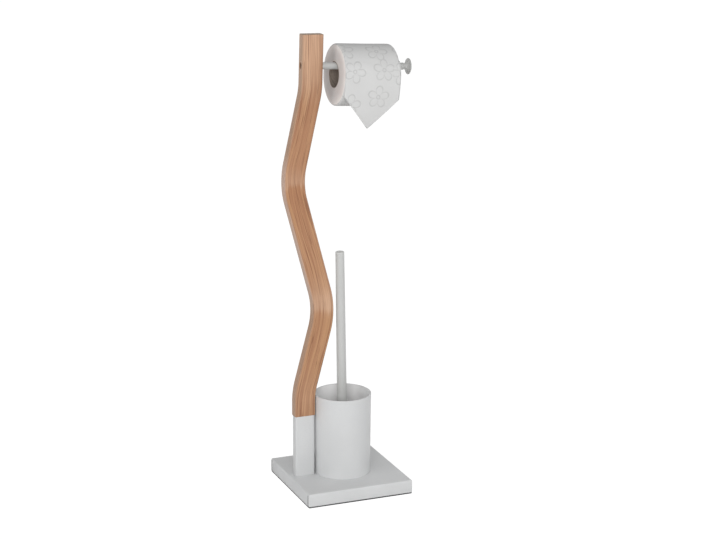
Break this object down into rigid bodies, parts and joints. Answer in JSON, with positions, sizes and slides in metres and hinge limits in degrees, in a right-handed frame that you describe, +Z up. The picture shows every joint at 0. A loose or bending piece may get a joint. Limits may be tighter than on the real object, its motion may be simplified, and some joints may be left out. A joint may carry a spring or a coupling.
{
  "type": "toilet butler stand",
  "caption": "Free-standing bathroom stand: a bent wooden upright on a weighted square base holds a paper roll on a rod and a brush in a round cup.",
  "frame": {"origin": "centre of the underside of the base, on the floor", "axes": "+Z up, +X along the paper rod away from the upright, -Y towards the viewer in front"},
  "size_m": [0.2372, 0.2, 0.827],
  "materials": {
    "base_paint": "satin powder coat",
    "ballast_steel": "rough",
    "board": "raw fibreboard",
    "pad_rubber": "matte foam rubber",
    "sleeve_paint": "satin powder coat",
    "zinc_steel": "zinc plated",
    "insert_brass": "machined",
    "upright_wood": "clear satin lacquer on pale hardwood",
    "rod_paint": "satin powder coat",
    "white_plastic": "matte",
    "cup_paint": "satin powder coat",
    "handle_paint": "satin powder coat",
    "bristle_nylon": "nylon",
    "core_card": "raw grey card",
    "tissue": "embossed tissue"
  },
  "bodies": {
    "stand": {"base_cover": "base_paint", "ballast_plate": "ballast_steel", "bottom_board": "board", "anti_slip_pad": "pad_rubber", "post_sleeve": "sleeve_paint", "tie_bolts": "zinc_steel", "tie_washers": "zinc_steel", "wood_inserts": "insert_brass", "wood_upright": "upright_wood", "rod_screw": "zinc_steel", "rod_washer": "zinc_steel", "rod_insert": "zinc_steel", "roll_rod": "rod_paint", "rod_knob": "rod_paint", "cup_locator": "white_plastic", "locator_screw": "zinc_steel", "locator_nut": "zinc_steel"},
    "cup": {"brush_cup": "cup_paint"},
    "brush": {"brush_handle": "handle_paint", "handle_plug": "zinc_steel", "brush_core": "white_plastic", "brush_bristles": "bristle_nylon"},
    "roll": {"cardboard_core": "core_card", "paper_roll": "tissue", "paper_tail": "tissue"}
  },
  "joints": [
    {"name": "roll_spin", "type": "hinge", "parent": "stand", "child": "roll", "pos_m": [0.03751, 0.0014, 0.75072], "axis": [0.9982, 0, -0.0593], "continuous": true},
    {"name": "cup_lift", "type": "slide", "parent": "stand", "child": "cup", "axis": [0, 0, 1], "range_m": [0, 0.0065]},
    {"name": "brush_lift", "type": "slide", "parent": "cup", "child": "brush", "axis": [0.0872, 0, 0.9962], "range_m": [0, 0.155]}
  ]
}
